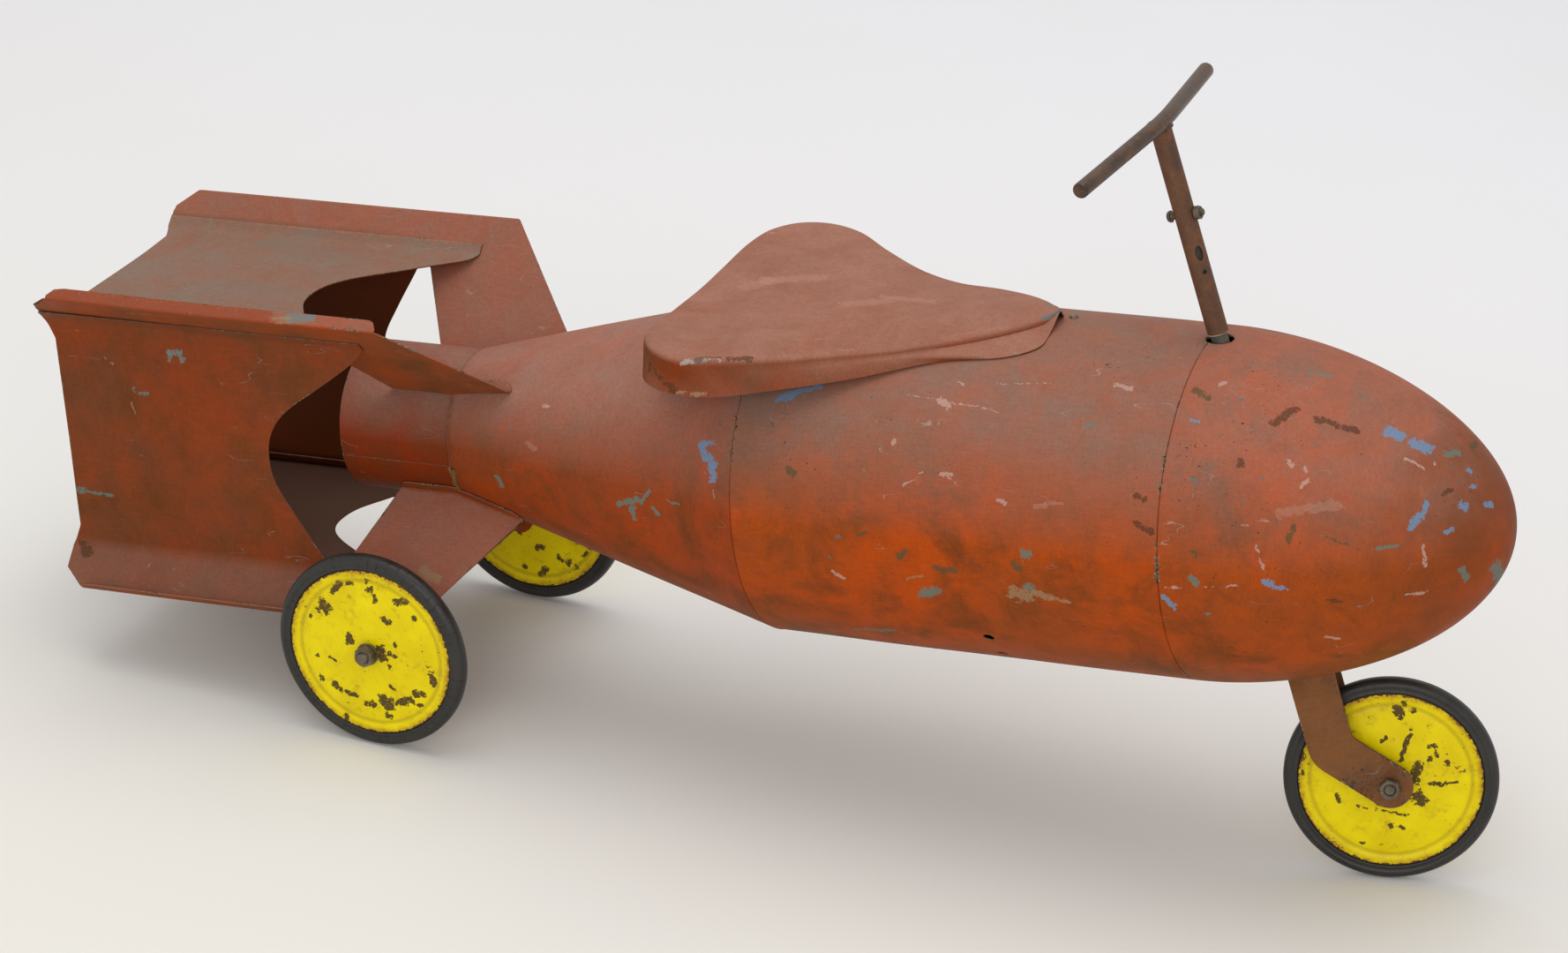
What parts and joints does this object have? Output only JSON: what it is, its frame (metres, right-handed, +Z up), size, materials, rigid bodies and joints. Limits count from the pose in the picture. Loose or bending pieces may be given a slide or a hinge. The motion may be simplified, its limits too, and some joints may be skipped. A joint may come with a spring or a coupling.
{
  "type": "ride-on toy",
  "caption": "Pressed-steel ride-on toy with a bomb-shaped body, boxed tail fins, saddle seat, raked steering column with a T handlebar, and disc wheels with rubber tyres.",
  "frame": {"origin": "on the floor, under the middle of the toy's overall length and width", "axes": "+X forward towards the nose, +Y to the rider's left, +Z up"},
  "size_m": [1.2936, 0.356, 0.6413],
  "materials": {
    "red_paint": "old chalky red enamel, rubbed and chipped",
    "yellow_paint": "bright yellow enamel with rust chips",
    "rusty_steel": "brown rusted bare steel",
    "dark_steel": "dull dark bare steel",
    "tyre": "aged grey-black rubber"
  },
  "bodies": {
    "chassis": {"nose_shell": "red_paint", "barrel_shell": "red_paint", "rear_cone": "red_paint", "tail_tube": "red_paint", "fin_left_upper": "red_paint", "fin_right_upper": "red_paint", "fin_right_lower": "red_paint", "fin_left_lower": "red_paint", "panel_top": "red_paint", "panel_right": "red_paint", "panel_bottom": "red_paint", "panel_left": "red_paint", "seat_pan": "red_paint", "seat_strap": "dark_steel", "seat_screw": "dark_steel", "axle_lug_left": "red_paint", "axle_lug_right": "red_paint", "rear_axle": "dark_steel", "rear_washer_left": "dark_steel", "rear_nut_left": "dark_steel", "axle_collar_left": "dark_steel", "rear_washer_right": "dark_steel", "rear_nut_right": "dark_steel", "axle_collar_right": "dark_steel", "head_tube": "dark_steel", "steering_strap_lower": "dark_steel", "steering_strap_upper": "dark_steel"},
    "steering": {"steering_column": "dark_steel", "stem_sleeve": "rusty_steel", "handlebar": "rusty_steel", "clamp_bolt": "dark_steel", "clamp_nut": "dark_steel", "fork": "rusty_steel", "front_axle": "dark_steel", "front_spacer_left": "dark_steel", "front_spacer_right": "dark_steel", "front_nut_left": "dark_steel", "front_nut_right": "dark_steel"},
    "front_wheel": {"front_wheel_disc_left": "yellow_paint", "front_wheel_disc_right": "yellow_paint", "front_wheel_tyre": "tyre", "front_wheel_hub": "dark_steel"},
    "rear_wheel_left": {"rear_wheel_left_disc_left": "yellow_paint", "rear_wheel_left_disc_right": "yellow_paint", "rear_wheel_left_tyre": "tyre", "rear_wheel_left_hub": "dark_steel"},
    "rear_wheel_right": {"rear_wheel_right_disc_left": "yellow_paint", "rear_wheel_right_disc_right": "yellow_paint", "rear_wheel_right_tyre": "tyre", "rear_wheel_right_hub": "dark_steel"}
  },
  "joints": [
    {"name": "steering_turn", "type": "hinge", "parent": "chassis", "child": "steering", "pos_m": [0.5233, 0, 0.07665], "axis": [-0.3289, 0, 0.9444], "range_deg": [-61.6, 28.4]},
    {"name": "front_wheel_spin", "type": "hinge", "parent": "steering", "child": "front_wheel", "pos_m": [0.55805, 0.01097, 0.08875], "axis": [-0.2698, 0.9583, -0.094], "continuous": true},
    {"name": "rear_wheel_left_spin", "type": "hinge", "parent": "chassis", "child": "rear_wheel_left", "pos_m": [-0.30175, 0.1553, 0.0889], "axis": [0, 1, 0], "continuous": true},
    {"name": "rear_wheel_right_spin", "type": "hinge", "parent": "chassis", "child": "rear_wheel_right", "pos_m": [-0.30175, -0.1553, 0.0889], "axis": [0, 1, 0], "continuous": true}
  ]
}
